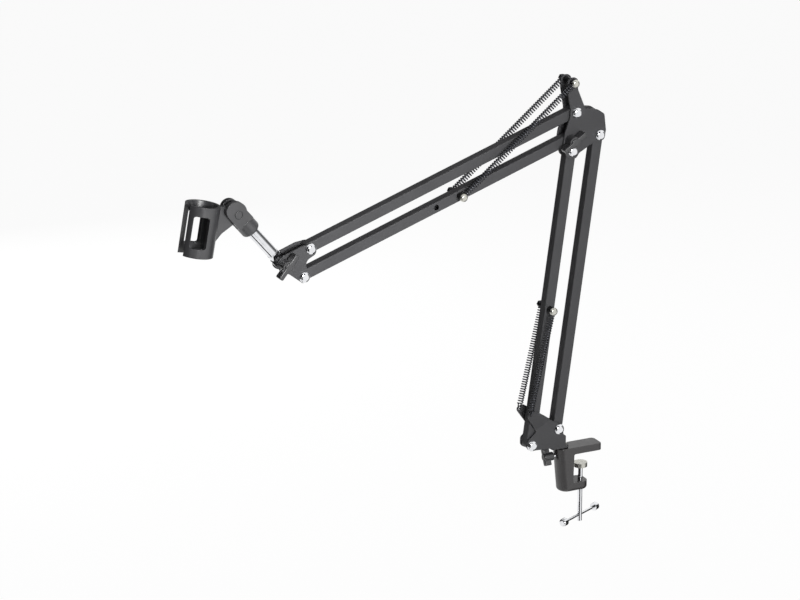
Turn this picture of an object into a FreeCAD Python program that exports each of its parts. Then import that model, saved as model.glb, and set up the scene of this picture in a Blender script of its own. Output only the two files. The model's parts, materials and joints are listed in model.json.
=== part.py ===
"""Spring-balanced microphone boom arm with a desk clamp, as a parametric document in millimetres.

Frame: the origin is on the underside of the clamp's upper jaw, on the axis of the clamp screw, which is where
the desk top lies. +X runs from the desk's edge over the desk, +Z is up, and the near side of the arm is -Y.
"""
import FreeCAD
import Part
import math
import os
import re
from types import SimpleNamespace

import Sketcher
from FreeCAD import Placement, Rotation, Vector

# Driving dimensions: every alias of the sheet, in millimetres, degrees or counts.
SIZES = {
    # Bars of the two parallelogram arms
    "bar_pitch": 345.0,
    "bar_width": 12.0,
    "bar_wall": 1.0,
    "bar_corner_radius": 1.0,
    "lower_arm_angle": 82.2,
    "upper_arm_angle": 18.97,
    "spare_hole_diameter": 6.2,
    "spare_side_hole_distance": 174.0,
    "spare_top_hole_distance": 163.0,
    # Pivots: base bracket, elbow and head
    "base_front_x": -68.0,
    "base_front_z": 19.0,
    "base_rear_dx": 34.1,
    "base_rear_dz": 14.6,
    "elbow_top_dx": 4.4,
    "elbow_top_dz": 43.8,
    "upper_pitch_dx": -8.0,
    "upper_pitch_dz": -30.7,
    "elbow_lug_dx": -1.3,
    "elbow_lug_dz": 78.9,
    "tilt_dx": -23.5,
    "tilt_dz": 17.6,
    # Bushes, bolts and nuts of the pivots
    "bush_flange": 0.95,
    "bush_flange_diameter": 11.0,
    "bush_diameter": 8.0,
    "bush_depth": 4.0,
    "side_clearance": 0.05,
    "running_clearance": 0.05,
    "bolt_diameter": 5.0,
    "bolt_head_diameter": 12.6,
    "bolt_head_height": 3.6,
    "bolt_dome_radius": 3.4,
    "nut_flats": 8.0,
    "nut_height": 5.0,
    "thread_run_out": 1.2,
    # Sheet-metal plates and the base bracket
    "plate_thickness": 2.0,
    "web_bottom": 9.2,
    "web_thickness": 2.5,
    "web_front": 17.0,
    "web_rear": 6.4,
    "web_rear_round": 6.0,
    "lug_bend": 12.8,
    "lug_hole_diameter": 3.2,
    "base_lug_dx": -5.5,
    "base_lug_dz": 39.7,
    "crease_front_dx": 3.7,
    "crease_front_dz": 18.1,
    "crease_rear_dx": -11.1,
    "crease_rear_dz": 13.4,
    # Spring pins and springs
    "pin_diameter": 4.0,
    "pin_reach": 14.8,
    "pin_head_diameter": 9.4,
    "pin_head_height": 3.0,
    "pin_dome_radius": 2.6,
    "pin_nut_flats": 7.0,
    "pin_nut_height": 3.0,
    "collar_diameter": 8.0,
    "elbow_collar_diameter": 8.4,
    "lower_pin_distance": 160.8,
    "upper_pin_distance": 143.6,
    "spring_offset": 13.0,
    "spring_mean_radius": 3.0,
    "spring_wire": 1.0,
    "spring_turns": 23,
    "spring_leg": 4.2,
    "spring_eye_play": 0.35,
    "spring_hook_radius": 3.2,
    "spring_hook_drop": 0.6,
    # Desk clamp
    "clamp_width": 22.0,
    "clamp_tip_x": 22.5,
    "clamp_top": 8.0,
    "column_front_x": -34.7,
    "column_inner_x": -14.0,
    "column_front_draft": 5.4,
    "column_inner_draft": 1.0,
    "column_round": 10.5,
    "throat": 35.2,
    "lower_jaw_height": 10.3,
    "lower_jaw_end": 6.0,
    "lower_jaw_round": 8.0,
    "upper_jaw_round": 5.0,
    "clamp_bottom_round": 4.0,
    "clamp_top_round": 1.0,
    "swivel_x": -25.0,
    "spigot_diameter": 10.0,
    "spigot_length": 29.0,
    "spigot_rivet_diameter": 11.6,
    "spigot_rivet_height": 1.5,
    "swivel_bore_floor": 2.0,
    "swivel_washer_diameter": 15.0,
    "screw_diameter": 5.6,
    "screw_end_z": -87.0,
    "pad_top_z": -15.0,
    "pad_diameter": 16.0,
    "pad_height": 5.0,
    "pad_socket": 2.8,
    "tommy_z": -79.6,
    "tommy_angle": 26.5,
    "tommy_diameter": 3.0,
    "tommy_length": 63.4,
    "tommy_cap_diameter": 9.0,
    "tommy_cap_length": 7.0,
    "tommy_cap_depth": 5.0,
    "tommy_clearance": 0.1,
    # Wing knobs
    "knob_hub_diameter": 13.0,
    "knob_height": 13.5,
    "knob_span": 32.0,
    "knob_wing_thickness": 5.5,
    "knob_wing_foot": 4.0,
    "elbow_wing_angle": 34.0,
    "head_wing_angle": 50.0,
    "knob_stand_off": 0.3,
    "knob_insert_flats": 8.0,
    "knob_insert_height": 4.0,
    "knob_edge_radius": 1.2,
    "knob_hub_drop": 1.5,
    "knob_boss_diameter": 9.0,
    "swivel_knob_span": 20.0,
    "swivel_knob_hub": 10.0,
    "swivel_knob_height": 12.0,
    "swivel_knob_gap": 2.2,
    "swivel_knob_wing_angle": 25.0,
    "swivel_knob_z": -1.6,
    "lock_stud_diameter": 5.0,
    "lock_stud_gap": 0.15,
    "lock_stud_engagement": 8.0,
    # Tilting tube and clip
    "tube_angle": 130.0,
    "tube_diameter": 12.6,
    "tube_wall": 1.3,
    "tab_width": 14.6,
    "tab_length": 10.2,
    "tab_thickness": 2.6,
    "neck_end": 16.0,
    "neck_swell": 0.15,
    "spacer_diameter": 13.0,
    "barrel_bottom": 53.0,
    "barrel_diameter": 21.5,
    "barrel_edge_radius": 3.0,
    "stud_diameter": 15.9,
    "stud_length": 12.0,
    "stud_depth": 2.0,
    "knuckle_distance": 82.2,
    "fork_width": 20.0,
    "fork_thickness": 19.0,
    "lug_thickness": 6.0,
    "lug_radius": 12.6,
    "lug_side_clearance": 0.2,
    "lug_end_clearance": 1.0,
    "fork_overhang": 6.3,
    "knuckle_screw_diameter": 4.0,
    "knuckle_head_diameter": 8.4,
    "knuckle_head_height": 1.0,
    "knuckle_recess_diameter": 9.4,
    "knuckle_recess_depth": 0.8,
    "knuckle_nut_flats": 7.0,
    "clip_angle": 79.7,
    "clip_height": 56.0,
    "clip_lower_diameter": 38.2,
    "clip_upper_diameter": 38.6,
    "clip_bore_diameter": 27.0,
    "clip_mouth_diameter": 31.8,
    "clip_band_height": 10.0,
    "clip_relief": 0.3,
    "clip_mouth_depth": 16.0,
    "clip_slit": 14.0,
    "clip_reach": 39.2,
    "clip_knuckle_height": 48.0,
    "clip_near_window_width": 16.2,
    "clip_far_window_width": 21.7,
    "clip_window_front": 14.2,
    "clip_front_strip": 9.0,
    "clip_strip_back": 12.4,
    "clip_window_height": 35.2,
    "clip_window_foot": 10.3,
    "clip_window_round": 2.5,
}

X_AXIS = Vector(1, 0, 0)
Y_AXIS = Vector(0, 1, 0)
Z_AXIS = Vector(0, 0, 1)
NUT_SIDE_COUNT = 6

# Corners of the sheet-metal outlines: the pivot each follows, its offset in X and Z, and its rounding radius.
BASE_OUTLINE = (
    ("front", -6.3, -5.7, 5.4),
    ("rear", 9.4, -23.2, 1.5),
    ("rear", 9.5, -9.6, 1.5),
    ("rear", 6.1, -7.0, 1.5),
    ("rear", 5.6, 3.2, 3.0),
    ("rear", 0.5, 6.0, 3.0),
    ("rear", -5.2, 9.2, 4.0),
    ("crease_rear", 0.0, 0.0, 0.0),
    ("crease_front", 0.0, 0.0, 0.0),
    ("front", 4.9, 15.5, 2.0),
    ("front", -6.2, 6.1, 5.0),
)
BASE_LUG_OUTLINE = (
    ("crease_front", 0.3, -0.5, 0.0),
    ("crease_rear", 0.3, -0.5, 0.0),
    ("lug", 15.0, -2.5, 6.0),
    ("lug", 4.4, 4.2, 4.0),
    ("lug", -5.2, 0.8, 4.0),
)
ELBOW_OUTLINE = (
    ("lug", -6.4, 5.4, 5.2),
    ("lug", 6.6, 5.4, 5.2),
    ("lug", 6.6, -8.5, 8.0),
    ("top", 10.8, 3.0, 5.0),
    ("rear", -3.3, 29.8, 8.0),
    ("rear", 5.3, 23.8, 5.0),
    ("rear", 7.6, 5.0, 3.0),
    ("rear", 5.8, -6.2, 4.5),
    ("rear", -8.3, -7.9, 3.0),
    ("front", 8.0, -3.1, 3.0),
    ("front", 4.2, -8.8, 4.0),
    ("front", -6.6, -8.2, 6.0),
    ("low", -9.0, -6.0, 7.0),
    ("low", -6.4, 9.6, 5.0),
    ("top", -8.6, -5.5, 6.0),
    ("top", -8.0, 3.6, 6.0),
    ("lug", -6.2, -9.0, 8.0),
)
HEAD_OUTLINE = (
    ("top", 6.8, 6.2, 6.0),
    ("top", -11.0, 4.2, 20.0),
    ("tilt", -1.0, 9.6, 8.0),
    ("tilt", -7.4, 1.4, 6.5),
    ("tilt", -5.2, -8.0, 7.0),
    ("tilt", 6.0, -12.1, 8.0),
    ("low", -1.6, -7.2, 2.0),
    ("low", 7.2, -0.5, 5.0),
    ("low", 0.4, 17.0, 8.0),
    ("top", 6.6, -6.3, 6.0),
)
CLIP_GUSSET_OUTLINE = (
    ("wall", 0.5, 11.0, 0.0),
    ("wall", 5.0, 14.5, 3.0),
    ("wall", 12.2, 25.3, 14.0),
    ("knuckle", -2.3, -13.0, 2.0),
    ("knuckle", 4.0, 0.0, 3.0),
    ("knuckle", -1.0, 11.0, 3.0),
    ("wall", 9.0, 54.5, 6.0),
    ("wall", 0.5, 54.5, 0.0),
)

size = SimpleNamespace(**SIZES)
doc = FreeCAD.newDocument("BoomArm")
sheet = doc.addObject("Spreadsheet::Sheet", "Sizes")
for row, (alias, number) in enumerate(SIZES.items(), start=1):
    sheet.set(f"A{row}", alias)
    sheet.set(f"B{row}", str(number))
    sheet.setAlias(f"B{row}", alias)
doc.recompute()

sub_parts = []


def at(x, z, y=0.0):
    """Point in the arm's frame."""
    return Vector(x, y, z)


def formula(text):
    """Expression text in which each alias is read from the sheet."""
    return re.sub(r"[a-z][a-z_]+", lambda word: "Sizes." + word.group(0), text)


def bind(piece, **formulas):
    """Bind properties of a piece to formulas of sheet aliases."""
    for name, text in formulas.items():
        piece.setExpression(name, formula(text))


def sub_part(piece):
    """List a finished piece for export under its label."""
    sub_parts.append(piece)
    return piece


def cylinder(name, radius, height, base, direction=Y_AXIS):
    """Cylinder whose radius and height are formulas."""
    piece = doc.addObject("Part::Cylinder", name)
    bind(piece, Radius=radius, Height=height)
    piece.Placement = Placement(base, Rotation(Z_AXIS, direction))
    return piece


def cone(name, lower_radius, upper_radius, height, placement):
    """Cone frustum whose radii and height are formulas."""
    piece = doc.addObject("Part::Cone", name)
    bind(piece, Radius1=lower_radius, Radius2=upper_radius, Height=height)
    piece.Placement = placement
    return piece


def block(name, length, width, height, placement):
    """Box whose sides are formulas, from its corner at the placement."""
    piece = doc.addObject("Part::Box", name)
    bind(piece, Length=length, Width=width, Height=height)
    piece.Placement = placement
    return piece


def hexagon(name, flats, height, base, direction=Y_AXIS):
    """Hexagonal prism of a width across flats, both formulas."""
    piece = doc.addObject("Part::Prism", name)
    piece.Polygon = NUT_SIDE_COUNT
    bind(piece, Height=height)
    piece.setExpression("Circumradius", f"({formula(flats)}) / 2 / cos(30 deg)")
    piece.Placement = Placement(base, Rotation(Z_AXIS, direction))
    return piece


def fuse(name, pieces):
    """Union of pieces."""
    piece = doc.addObject("Part::MultiFuse", name)
    piece.Shapes = pieces
    piece.Refine = True
    return piece


def cut(name, base, tools):
    """Base less its tools."""
    tool = tools[0] if len(tools) == 1 else fuse(name + "_tools", tools)
    piece = doc.addObject("Part::Cut", name)
    piece.Base = base
    piece.Tool = tool
    return piece


def group(name, pieces):
    """Like pieces that share one node, as separate solids."""
    piece = doc.addObject("Part::Compound", name)
    piece.Links = pieces
    return piece


def ring(name, outer, inner, height, base, direction=Y_AXIS):
    """Plain ring or sleeve between two radii."""
    whole = cylinder(name + "_outside", outer, height, base, direction)
    hole = cylinder(name + "_hole", inner, height, base, direction)
    return cut(name, whole, [hole])


def edges_where(shape, test):
    """Numbers of a shape's edges that pass a test on the edge."""
    return [number for number, edge in enumerate(shape.Edges, start=1) if test(edge)]


def rounded(name, base, test, radius):
    """Base with the edges that pass the test rounded."""
    doc.recompute()
    piece = doc.addObject("Part::Fillet", name)
    piece.Base = base
    piece.Edges = [(number, radius, radius) for number in edges_where(base.Shape, test)]
    return piece


def domed(name, radius, height, dome, base, direction):
    """Cylinder whose far rim is rounded into a dome."""
    plain = cylinder(name + "_blank", radius, height, base, direction)
    doc.recompute()
    far = max(plain.Shape.Vertexes, key=lambda vertex: vertex.Point.dot(direction)).Point.dot(direction)
    return rounded(name, plain, lambda edge: edge.CenterOfMass.dot(direction) > far - 1e-6, dome)


def new_body(name, placement=Placement()):
    """PartDesign body at a placement."""
    piece = doc.addObject("PartDesign::Body", name)
    piece.Placement = placement
    return piece


def new_sketch(piece, role, height=0.0):
    """Sketch on one of a body's origin planes, raised along its normal."""
    sketch = piece.newObject("Sketcher::SketchObject", piece.Name + "_" + role.lower())
    plane = next(item for item in piece.Origin.OriginFeatures if item.Role == role)
    sketch.AttachmentSupport = [(plane, "")]
    sketch.MapMode = "FlatFace"
    sketch.AttachmentOffset = Placement(Vector(0, 0, height), Rotation())
    return sketch


def draw_outline(sketch, corners):
    """Closed outline through (x, y, radius) corners, each rounded by a tangent arc of its radius."""
    starts, ends = [], []
    count = len(corners)
    for index, (x, y, radius) in enumerate(corners):
        here = Vector(x, y, 0)
        before = Vector(*corners[index - 1][:2], 0) - here
        after = Vector(*corners[(index + 1) % count][:2], 0) - here
        half = before.getAngle(after) / 2
        reach = radius / math.tan(half)
        start = here + before.normalize() * reach
        end = here + after.normalize() * reach
        starts.append(start)
        ends.append(end)
        if radius > 0:
            middle = (before + after).normalize()
            crown = here + middle * (radius / math.sin(half) - radius)
            sketch.addGeometry(Part.Arc(start, crown, end))
    for index in range(count):
        start, end = ends[index], starts[(index + 1) % count]
        if start.distanceToPoint(end) > 1e-6:
            sketch.addGeometry(Part.LineSegment(start, end))


def draw_circle(sketch, x, y, radius):
    """Circle whose radius is a formula."""
    circle = sketch.addGeometry(Part.Circle(Vector(x, y, 0), Z_AXIS, 1.0))
    constraint = sketch.addConstraint(Sketcher.Constraint("Radius", circle, 1.0))
    sketch.setExpression(f"Constraints[{constraint}]", formula(radius))


def pad(piece, sketch, length):
    """Pad a sketch along its normal by a formula."""
    feature = piece.newObject("PartDesign::Pad", sketch.Name + "_pad")
    feature.Profile = sketch
    bind(feature, Length=length)
    return feature


def round_edges(piece, test, radius):
    """Round the edges of a body's tip that pass a test, by a formula."""
    doc.recompute()
    tip = piece.Tip
    feature = piece.newObject("PartDesign::Fillet", tip.Name + "_round")
    feature.Base = (tip, [f"Edge{number}" for number in edges_where(tip.Shape, test)])
    bind(feature, Radius=radius)
    return feature


def corners_from(pivots, outline):
    """Corners of an outline whose points follow named pivots."""
    return [(pivots[key].x + dx, pivots[key].z + dz, radius) for key, dx, dz, radius in outline]


def plate(name, corners, holes, inner_y):
    """Flat plate in the XZ plane with round holes: (pivot, radius formula) each."""
    piece = new_body(name, Placement(Vector(0, inner_y, 0), Rotation()))
    sketch = new_sketch(piece, "XZ_Plane")
    draw_outline(sketch, corners)
    for pivot, radius in holes:
        draw_circle(sketch, pivot.x, pivot.z, radius)
    pad(piece, sketch, "plate_thickness")
    return piece


# Pivots in the side view
lower_radians = math.radians(size.lower_arm_angle)
upper_radians = math.radians(size.upper_arm_angle)
lower_run = at(math.cos(lower_radians), math.sin(lower_radians))
upper_run = at(-math.cos(upper_radians), -math.sin(upper_radians))
base_front = at(size.base_front_x, size.base_front_z)
base_rear = base_front + at(size.base_rear_dx, size.base_rear_dz)
elbow_front = base_front + lower_run * size.bar_pitch
elbow_rear = base_rear + lower_run * size.bar_pitch
elbow_top = elbow_front + at(size.elbow_top_dx, size.elbow_top_dz)
elbow_low = elbow_top + at(size.upper_pitch_dx, size.upper_pitch_dz)
elbow_lug = elbow_front + at(size.elbow_lug_dx, size.elbow_lug_dz)
head_top = elbow_top + upper_run * size.bar_pitch
head_low = elbow_low + upper_run * size.bar_pitch
tilt = head_low + at(size.tilt_dx, size.tilt_dz)
lower_pin = base_front + lower_run * size.lower_pin_distance
upper_pin = elbow_low + upper_run * size.upper_pin_distance

# Stack across the width: bar, bush flange, plate
bar_half = size.bar_width / 2
plate_inner = bar_half + size.bush_flange + size.side_clearance
plate_outer = plate_inner + size.plate_thickness
PLATE_OUTER = "(bar_width / 2 + bush_flange + side_clearance + plate_thickness)"
BOLT_HOLE = "bolt_diameter / 2 + running_clearance"
NEAR, FAR = -1, 1


def pivot_bolt(name, pivot):
    """Dome-headed bolt with its head on the near plate."""
    head_seat = pivot - Y_AXIS * plate_outer
    shank = cylinder(
        name + "_shank", "bolt_diameter / 2", f"2 * {PLATE_OUTER} + nut_height + thread_run_out", head_seat
    )
    head = domed(
        name + "_head", "bolt_head_diameter / 2", "bolt_head_height", size.bolt_dome_radius, head_seat, -Y_AXIS
    )
    return fuse(name, [shank, head])


def pivot_nut(name, pivot):
    """Hexagonal lock nut on the far plate."""
    seat = pivot + Y_AXIS * plate_outer
    blank = hexagon(name + "_blank", "nut_flats", "nut_height", seat)
    hole = cylinder(name + "_hole", "bolt_diameter / 2", "nut_height", seat)
    return cut(name, blank, [hole])


def bolts_and_nuts(prefix, pivots):
    """One node of pivot bolts and one of their nuts."""
    bolts = [pivot_bolt(f"{prefix}_bolt_{index}", pivot) for index, pivot in enumerate(pivots)]
    nuts = [pivot_nut(f"{prefix}_nut_{index}", pivot) for index, pivot in enumerate(pivots)]
    sub_part(group(f"{prefix}_pivot_bolts", bolts))
    sub_part(group(f"{prefix}_pivot_nuts", nuts))


def square_bar(name, start, angle, side_holes=(), top_holes=()):
    """Square tube with round ends about its two pivots and holes along it, from a start pivot."""
    placement = Placement(start + Y_AXIS * bar_half, Rotation(Y_AXIS, -angle))
    piece = new_body(name + "_tube", placement)
    outline = new_sketch(piece, "XZ_Plane")
    end = size.bar_pitch + bar_half
    draw_outline(
        outline,
        [
            (-bar_half, -bar_half, bar_half),
            (end, -bar_half, bar_half),
            (end, bar_half, bar_half),
            (-bar_half, bar_half, bar_half),
        ],
    )
    pad(piece, outline, "bar_width")
    round_edges(
        piece,
        lambda edge: edge.Length > size.bar_pitch / 2,
        "bar_corner_radius",
    )
    hollow = new_sketch(piece, "YZ_Plane")
    inner, outer = -size.bar_wall, -size.bar_width + size.bar_wall
    inner_half = bar_half - size.bar_wall
    draw_outline(
        hollow,
        [
            (outer, -inner_half, 0.0),
            (inner, -inner_half, 0.0),
            (inner, inner_half, 0.0),
            (outer, inner_half, 0.0),
        ],
    )
    pocket = piece.newObject("PartDesign::Pocket", name + "_bore")
    pocket.Profile = hollow
    pocket.SideType = "Symmetric"
    pocket.Type = "ThroughAll"
    direction = Rotation(Y_AXIS, -angle).multVec(X_AXIS)
    tools = []
    for index, distance in enumerate((0.0, size.bar_pitch)):
        pivot = start + direction * distance - Y_AXIS * bar_half
        tools.append(cylinder(f"{name}_pivot_{index}", "bush_diameter / 2", "bar_width", pivot))
    for index, (distance, radius) in enumerate(side_holes):
        pivot = start + direction * distance - Y_AXIS * bar_half
        tools.append(cylinder(f"{name}_side_{index}", radius, "bar_width", pivot))
    upward = direction.cross(Y_AXIS) * -1
    for index, distance in enumerate(top_holes):
        mouth = start + direction * distance
        tools.append(cylinder(f"{name}_top_{index}", "spare_hole_diameter / 2", "bar_width", mouth, upward))
    return sub_part(cut(name, piece, tools))


def bar_bushes(name, pivots):
    """Flanged nylon bushes in both walls of a bar, at each of its pivots."""
    bushes = []
    for index, pivot in enumerate(pivots):
        for side in (NEAR, FAR):
            inward = Y_AXIS * -side
            wall = pivot + Y_AXIS * (side * bar_half)
            label = f"{name}_{index}_{'near' if side == NEAR else 'far'}"
            barrel = cylinder(label + "_barrel", "bush_diameter / 2", "bush_depth", wall, inward)
            flange = cylinder(label + "_flange", "bush_flange_diameter / 2", "bush_flange", wall, -inward)
            whole = fuse(label + "_whole", [barrel, flange])
            bore = cylinder(
                label + "_bore",
                BOLT_HOLE,
                "bush_depth + bush_flange",
                wall - inward * size.bush_flange,
                inward,
            )
            bushes.append(cut(label, whole, [bore]))
    return sub_part(group(name, bushes))


def spring_pin(prefix, pivot, seat, collar="collar_diameter"):
    """Cross pin with a domed near head, a far nut, and two collars that stand on a seat at |y| = seat."""
    reach = size.pin_reach
    shank = cylinder(
        prefix + "_shank",
        "pin_diameter / 2",
        "2 * pin_reach + pin_nut_height + thread_run_out",
        pivot - Y_AXIS * reach,
    )
    head = domed(
        prefix + "_head",
        "pin_head_diameter / 2",
        "pin_head_height",
        size.pin_dome_radius,
        pivot - Y_AXIS * reach,
        -Y_AXIS,
    )
    sub_part(fuse(prefix + "_pin", [shank, head]))
    nut_seat = pivot + Y_AXIS * reach
    nut_blank = hexagon(prefix + "_nut_blank", "pin_nut_flats", "pin_nut_height", nut_seat)
    nut_hole = cylinder(prefix + "_nut_hole", "pin_diameter / 2", "pin_nut_height", nut_seat)
    sub_part(cut(prefix + "_pin_nut", nut_blank, [nut_hole]))
    collars = []
    for side in (NEAR, FAR):
        foot = pivot + Y_AXIS * (side * seat)
        collars.append(
            ring(
                f"{prefix}_collar_{side + 1}",
                collar + " / 2",
                "pin_diameter / 2",
                f"spring_offset - spring_wire - {seat}",
                foot,
                Y_AXIS * side,
            )
        )
    sub_part(group(prefix + "_collars", collars))


def wing_knob(name, seat, direction, wing_angle, hub, span, height, bolt, depth):
    """Moulded wing knob standing on a seat, with a blind hole of a bolt and a hexagonal pocket for its insert."""
    turn = Rotation(Z_AXIS, direction)
    turn = turn.multiply(Rotation(Z_AXIS, wing_angle))
    piece = new_body(name + "_moulding", Placement(seat, turn))
    hub_sketch = new_sketch(piece, "XY_Plane")
    draw_circle(hub_sketch, 0, 0, f"{hub} / 2")
    pad(piece, hub_sketch, f"{height} - knob_hub_drop")
    wing_sketch = new_sketch(piece, "XY_Plane", size.knob_wing_foot)
    half_span = SIZES[span] / 2
    half_wing = size.knob_wing_thickness / 2
    wing_round = half_wing * 0.6
    draw_outline(
        wing_sketch,
        [
            (-half_span, -half_wing, wing_round),
            (half_span, -half_wing, wing_round),
            (half_span, half_wing, wing_round),
            (-half_span, half_wing, wing_round),
        ],
    )
    pad(piece, wing_sketch, f"{height} - knob_wing_foot")
    boss_sketch = new_sketch(piece, "XY_Plane", size.knob_wing_foot)
    draw_circle(boss_sketch, 0, 0, "knob_boss_diameter / 2")
    pad(piece, boss_sketch, f"{height} - knob_wing_foot")
    top = SIZES[height]
    round_edges(
        piece,
        lambda edge: all(abs(vertex.Point.z - top) < 1e-6 for vertex in edge.Vertexes),
        "knob_edge_radius",
    )
    hole = cylinder(name + "_hole", f"{bolt} / 2 + running_clearance", depth, seat, direction)
    return piece, hole


def boom_arm_clamp():
    """Desk clamp: frame, screw with pad and cross bar, swivel washer and lock knob."""
    half = size.clamp_width / 2
    bottom = -size.throat - size.lower_jaw_height
    frame = new_body("clamp_casting", Placement(Vector(0, half, 0), Rotation()))
    profile = new_sketch(frame, "XZ_Plane")
    draw_outline(
        profile,
        [
            (size.clamp_tip_x, 0, 0.0),
            (size.clamp_tip_x, size.clamp_top, 0.0),
            (size.column_front_x, size.clamp_top, 0.0),
            (size.column_front_x + size.column_front_draft, bottom, 0.0),
            (size.lower_jaw_end, bottom, 0.0),
            (size.lower_jaw_end, -size.throat, 0.0),
            (size.column_inner_x - size.column_inner_draft, -size.throat, 2.0),
            (size.column_inner_x, 0, 2.0),
        ],
    )
    pad(frame, profile, "clamp_width")

    def upright(edge, low_x, high_x):
        """Whether an edge stands upright between two X values."""
        steep = abs(edge.tangentAt(edge.FirstParameter).z) > 0.99
        return steep and low_x < edge.CenterOfMass.x < high_x

    def level(edge, height):
        """Whether an edge lies at a height."""
        return all(abs(vertex.Point.z - height) < 1e-6 for vertex in edge.Vertexes)

    column_middle = size.swivel_x - size.spigot_diameter / 2
    round_edges(frame, lambda edge: upright(edge, -1e3, column_middle), "column_round")
    end_x = size.lower_jaw_end
    round_edges(frame, lambda edge: upright(edge, end_x - 0.1, end_x + 0.1), "lower_jaw_round")
    round_edges(frame, lambda edge: upright(edge, end_x + 1, 1e3), "upper_jaw_round")
    round_edges(frame, lambda edge: level(edge, bottom), "clamp_bottom_round")
    round_edges(frame, lambda edge: level(edge, size.clamp_top), "clamp_top_round")
    spigot_foot = size.web_bottom - size.spigot_length
    bore_floor = spigot_foot - size.swivel_bore_floor
    swivel_bore = cylinder(
        "swivel_bore",
        "spigot_diameter / 2 + running_clearance",
        "clamp_top - web_bottom + spigot_length + swivel_bore_floor",
        at(size.swivel_x, bore_floor),
        Z_AXIS,
    )
    screw_bore = cylinder(
        "screw_bore",
        "screw_diameter / 2 + running_clearance",
        "lower_jaw_height",
        at(0, bottom),
        Z_AXIS,
    )
    lock_bore = cylinder(
        "lock_bore",
        "lock_stud_diameter / 2 + running_clearance",
        "swivel_x - column_front_x + knob_stand_off",
        at(size.swivel_x, size.swivel_knob_z),
        -X_AXIS,
    )
    sub_part(cut("clamp_frame", frame, [swivel_bore, screw_bore, lock_bore]))
    sub_part(
        ring(
            "swivel_washer",
            "swivel_washer_diameter / 2",
            "spigot_diameter / 2 + running_clearance",
            "web_bottom - clamp_top",
            at(size.swivel_x, size.clamp_top),
            Z_AXIS,
        )
    )
    pad_blank = cylinder(
        "pad_blank", "pad_diameter / 2", "pad_height", at(0, size.pad_top_z - size.pad_height), Z_AXIS
    )
    pad_socket = cylinder(
        "pad_socket",
        "screw_diameter / 2 + running_clearance",
        "pad_socket",
        at(0, size.pad_top_z - size.pad_height),
        Z_AXIS,
    )
    sub_part(cut("pressure_pad", pad_blank, [pad_socket]))
    screw_blank = cylinder(
        "screw_blank",
        "screw_diameter / 2",
        "pad_top_z - pad_height + pad_socket - side_clearance - screw_end_z",
        at(0, size.screw_end_z),
        Z_AXIS,
    )
    tommy_radians = math.radians(size.tommy_angle)
    tommy_run = Vector(math.cos(tommy_radians), math.sin(tommy_radians), 0)
    cross_hole = cylinder(
        "tommy_hole",
        "tommy_diameter / 2 + tommy_clearance",
        "2 * screw_diameter",
        at(0, size.tommy_z) - tommy_run * size.screw_diameter,
        tommy_run,
    )
    sub_part(cut("clamp_screw", screw_blank, [cross_hole]))
    half_bar = size.tommy_length / 2 - size.tommy_cap_length / 2 + size.tommy_cap_depth
    sub_part(
        cylinder(
            "tommy_bar",
            "tommy_diameter / 2",
            "tommy_length - tommy_cap_length + 2 * tommy_cap_depth",
            at(0, size.tommy_z) - tommy_run * half_bar,
            tommy_run,
        )
    )
    caps = []
    for side in (-1, 1):
        outward = tommy_run * side
        foot = at(0, size.tommy_z) + outward * (size.tommy_length / 2 - size.tommy_cap_length / 2)
        cap = domed(
            f"tommy_cap_blank_{side + 1}",
            "tommy_cap_diameter / 2",
            "tommy_cap_length",
            size.tommy_cap_diameter * 0.2,
            foot,
            outward,
        )
        hole = cylinder(f"tommy_cap_hole_{side + 1}", "tommy_diameter / 2", "tommy_cap_depth", foot, outward)
        caps.append(cut(f"tommy_cap_{side + 1}", cap, [hole]))
    sub_part(group("tommy_bar_caps", caps))
    swivel_lock()


def swivel_lock():
    """Small wing knob on a threaded stud that bears on the swivel spigot."""
    seat = at(size.column_front_x - size.swivel_knob_gap, size.swivel_knob_z)
    moulding, hole = wing_knob(
        "swivel_knob",
        seat,
        -X_AXIS,
        size.swivel_knob_wing_angle,
        "swivel_knob_hub",
        "swivel_knob_span",
        "swivel_knob_height",
        "lock_stud_diameter",
        "lock_stud_engagement",
    )
    sub_part(cut("swivel_knob", moulding, [hole]))
    tip_x = size.swivel_x - size.spigot_diameter / 2 - size.running_clearance - size.lock_stud_gap
    sub_part(
        cylinder(
            "swivel_knob_stud",
            "lock_stud_diameter / 2",
            "swivel_x - spigot_diameter / 2 - running_clearance - lock_stud_gap"
            " - column_front_x + swivel_knob_gap + lock_stud_engagement",
            at(tip_x, size.swivel_knob_z),
            -X_AXIS,
        )
    )


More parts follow.
